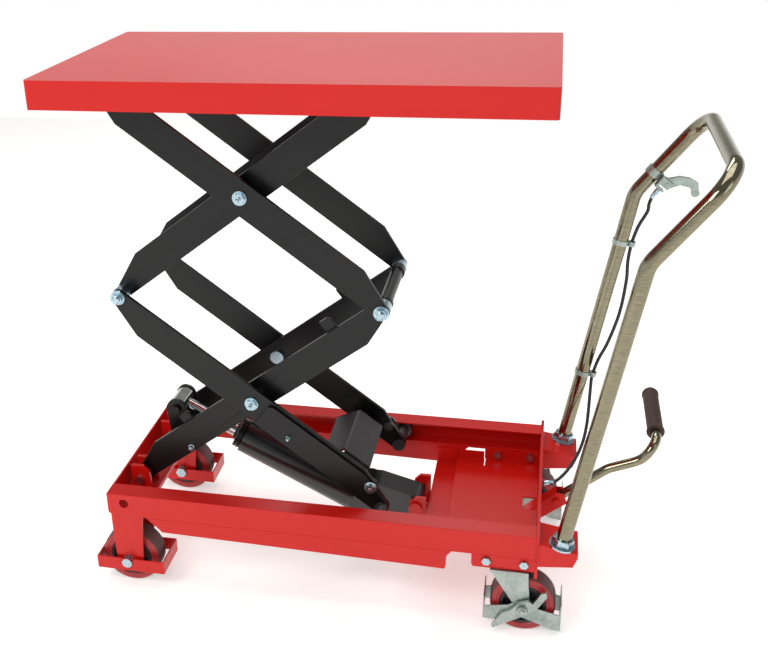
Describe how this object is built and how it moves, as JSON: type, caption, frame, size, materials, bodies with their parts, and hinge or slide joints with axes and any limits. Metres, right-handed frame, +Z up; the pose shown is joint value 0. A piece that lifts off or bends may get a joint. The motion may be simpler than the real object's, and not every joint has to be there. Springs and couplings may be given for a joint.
{
  "type": "scissor lift table",
  "caption": "Mobile double scissor lift table with foot pump, hydraulic ram, push handle, release lever and braked castors.",
  "frame": {"origin": "centre of the footprint of the bounding box, on the floor", "axes": "+X towards the push handle, +Y towards the side with the release lever, +Z up"},
  "size_m": [1.2076, 0.5, 1.0905],
  "materials": {
    "red_paint": "gloss powder coat",
    "black_paint": "satin powder coat",
    "chrome": "polished",
    "zinc": "zinc plated",
    "bright_bolts": "bright zinc plated",
    "grey_paint": "satin",
    "cable_sheath": "matt",
    "grip_rubber": "ribbed",
    "roller_steel": "machined",
    "tyre_urethane": "cast urethane",
    "hub_black": "moulded"
  },
  "bodies": {
    "frame": {"rail_left": "red_paint", "rail_right": "red_paint", "side_skirts": "red_paint", "front_crossmember": "red_paint", "pivot_clevises": "red_paint", "end_plate": "red_paint", "floor_plates": "red_paint", "pump_lugs": "red_paint", "handle_sockets": "red_paint", "front_forks": "red_paint", "toe_guards": "red_paint", "front_axles": "bright_bolts", "handle_tube": "chrome", "frame_fasteners": "bright_bolts", "cable_clips": "zinc", "release_cable": "cable_sheath"},
    "lower_inner": {"lower_inner_arm_left": "black_paint", "lower_inner_arm_right": "black_paint", "ram_lugs": "black_paint", "right_joint_shaft": "black_paint", "right_joint_bolts": "bright_bolts", "lower_centre_pins": "bright_bolts"},
    "lower_outer": {"lower_outer_arm_left": "black_paint", "lower_outer_arm_right": "black_paint", "arm_doublers": "black_paint", "cross_plate": "grey_paint"},
    "lower_roller_l": {"lower_roller_left": "roller_steel"},
    "lower_roller_r": {"lower_roller_right": "roller_steel"},
    "upper_outer": {"upper_outer_arm_left": "black_paint", "upper_outer_arm_right": "black_paint", "top_pivot_pins": "bright_bolts"},
    "upper_inner": {"upper_inner_arm_left": "black_paint", "upper_inner_arm_right": "black_paint", "left_joint_shaft": "black_paint", "left_joint_bolts": "bright_bolts", "upper_centre_pins": "bright_bolts"},
    "upper_roller_l": {"upper_roller_left": "roller_steel"},
    "upper_roller_r": {"upper_roller_right": "roller_steel"},
    "platform": {"platform_deck": "red_paint", "platform_guides": "red_paint"},
    "barrel": {"ram_barrel": "black_paint"},
    "rod": {"ram_rod": "chrome"},
    "plunger": {"pump_plunger": "chrome"},
    "front_wheel_l": {"front_tyre_left": "tyre_urethane", "front_hub_left": "hub_black"},
    "front_wheel_r": {"front_tyre_right": "tyre_urethane", "front_hub_right": "hub_black"},
    "castor_l": {"castor_fork_left": "zinc"},
    "castor_r": {"castor_fork_right": "zinc"},
    "castor_wheel_l": {"castor_tyre_left": "tyre_urethane", "castor_hub_left": "hub_black"},
    "castor_wheel_r": {"castor_tyre_right": "tyre_urethane", "castor_hub_right": "hub_black"},
    "brake_l": {"castor_brake_left": "zinc"},
    "brake_r": {"castor_brake_right": "zinc"},
    "pedal": {"pedal_arm": "red_paint", "pedal_tube": "chrome", "pedal_grip": "grip_rubber"},
    "lever": {"release_lever": "zinc"}
  },
  "joints": [
    {"name": "lift", "type": "hinge", "parent": "frame", "child": "lower_inner", "pos_m": [-0.52475, 0, 0.202], "axis": [0, -1, 0], "range_deg": [-33.8, 12.5]},
    {"name": "lower_scissor", "type": "hinge", "parent": "lower_inner", "child": "lower_outer", "pos_m": [-0.2601, 0, 0.41862], "axis": [0, -1, 0], "range_deg": [-25, 67.6]},
    {"name": "right_joint", "type": "hinge", "parent": "lower_inner", "child": "upper_outer", "pos_m": [0.00455, 0, 0.63523], "axis": [0, -1, 0], "range_deg": [-25, 67.6]},
    {"name": "upper_scissor", "type": "hinge", "parent": "upper_outer", "child": "upper_inner", "pos_m": [-0.2601, 0, 0.85185], "axis": [0, -1, 0], "range_deg": [-67.6, 25]},
    {"name": "platform_pivot", "type": "hinge", "parent": "upper_outer", "child": "platform", "pos_m": [-0.52475, 0, 1.06846], "axis": [0, -1, 0], "range_deg": [-33.8, 12.5]},
    {"name": "lower_roller_left_spin", "type": "hinge", "parent": "lower_outer", "child": "lower_roller_l", "pos_m": [0.00455, 0, 0.202], "axis": [0, -1, 0], "continuous": true},
    {"name": "lower_roller_right_spin", "type": "hinge", "parent": "lower_outer", "child": "lower_roller_r", "pos_m": [0.00455, 0, 0.202], "axis": [0, -1, 0], "continuous": true},
    {"name": "upper_roller_left_spin", "type": "hinge", "parent": "upper_inner", "child": "upper_roller_l", "pos_m": [0.00455, 0, 1.06846], "axis": [0, -1, 0], "continuous": true},
    {"name": "upper_roller_right_spin", "type": "hinge", "parent": "upper_inner", "child": "upper_roller_r", "pos_m": [0.00455, 0, 1.06846], "axis": [0, -1, 0], "continuous": true},
    {"name": "ram_tilt", "type": "hinge", "parent": "frame", "child": "barrel", "pos_m": [0.06424, 0, 0.152], "axis": [0, -1, 0], "range_deg": [-1, 2]},
    {"name": "ram_stroke", "type": "slide", "parent": "barrel", "child": "rod", "axis": [-0.891, 0, 0.454], "range_m": [-0.0835, 0.0312]},
    {"name": "pedal_hinge", "type": "hinge", "parent": "frame", "child": "pedal", "pos_m": [0.11224, 0, 0.108], "axis": [0, 1, 0], "range_deg": [0, 13], "stiffness_Nm_per_rad": 22, "springref_deg": -34.38},
    {"name": "plunger_stroke", "type": "slide", "parent": "barrel", "child": "plunger", "axis": [0, 0, 1], "range_m": [0, 0.0175]},
    {"name": "front_wheel_left_spin", "type": "hinge", "parent": "frame", "child": "front_wheel_l", "pos_m": [-0.52675, -0.181, 0.0635], "axis": [0, -1, 0], "continuous": true},
    {"name": "front_wheel_right_spin", "type": "hinge", "parent": "frame", "child": "front_wheel_r", "pos_m": [-0.52675, 0.181, 0.0635], "axis": [0, -1, 0], "continuous": true},
    {"name": "castor_left_swivel", "type": "hinge", "parent": "frame", "child": "castor_l", "pos_m": [0.25524, -0.191, 0.15], "axis": [0, 0, 1], "continuous": true},
    {"name": "castor_right_swivel", "type": "hinge", "parent": "frame", "child": "castor_r", "pos_m": [0.25524, 0.191, 0.15], "axis": [0, 0, 1], "continuous": true},
    {"name": "castor_left_spin", "type": "hinge", "parent": "castor_l", "child": "castor_wheel_l", "pos_m": [0.29724, -0.191, 0.0635], "axis": [0, -1, 0], "continuous": true},
    {"name": "castor_right_spin", "type": "hinge", "parent": "castor_r", "child": "castor_wheel_r", "pos_m": [0.29724, 0.191, 0.0635], "axis": [0, -1, 0], "continuous": true},
    {"name": "castor_left_brake", "type": "hinge", "parent": "castor_l", "child": "brake_l", "pos_m": [0.29724, -0.191, 0.0635], "axis": [0, 1, 0], "range_deg": [0, 10]},
    {"name": "castor_right_brake", "type": "hinge", "parent": "castor_r", "child": "brake_r", "pos_m": [0.29724, 0.191, 0.0635], "axis": [0, 1, 0], "range_deg": [0, 10]},
    {"name": "release_lever_hinge", "type": "hinge", "parent": "frame", "child": "lever", "pos_m": [0.5228, 0.182, 0.81151], "axis": [0, -1, 0], "range_deg": [0, 20], "stiffness_Nm_per_rad": 0.5, "springref_deg": -17.19}
  ],
  "couplings": [
    {"joint": "lower_scissor", "follows": "lift", "ratio": -2},
    {"joint": "right_joint", "follows": "lift", "ratio": -2},
    {"joint": "upper_scissor", "follows": "lift", "ratio": 2},
    {"joint": "platform_pivot", "follows": "lift", "ratio": 1},
    {"joint": "ram_tilt", "follows": "lift", "ratio": -0.0488},
    {"joint": "ram_stroke", "follows": "lift", "m_per_rad": 0.1406},
    {"joint": "plunger_stroke", "follows": "pedal_hinge", "m_per_rad": 0.076}
  ]
}
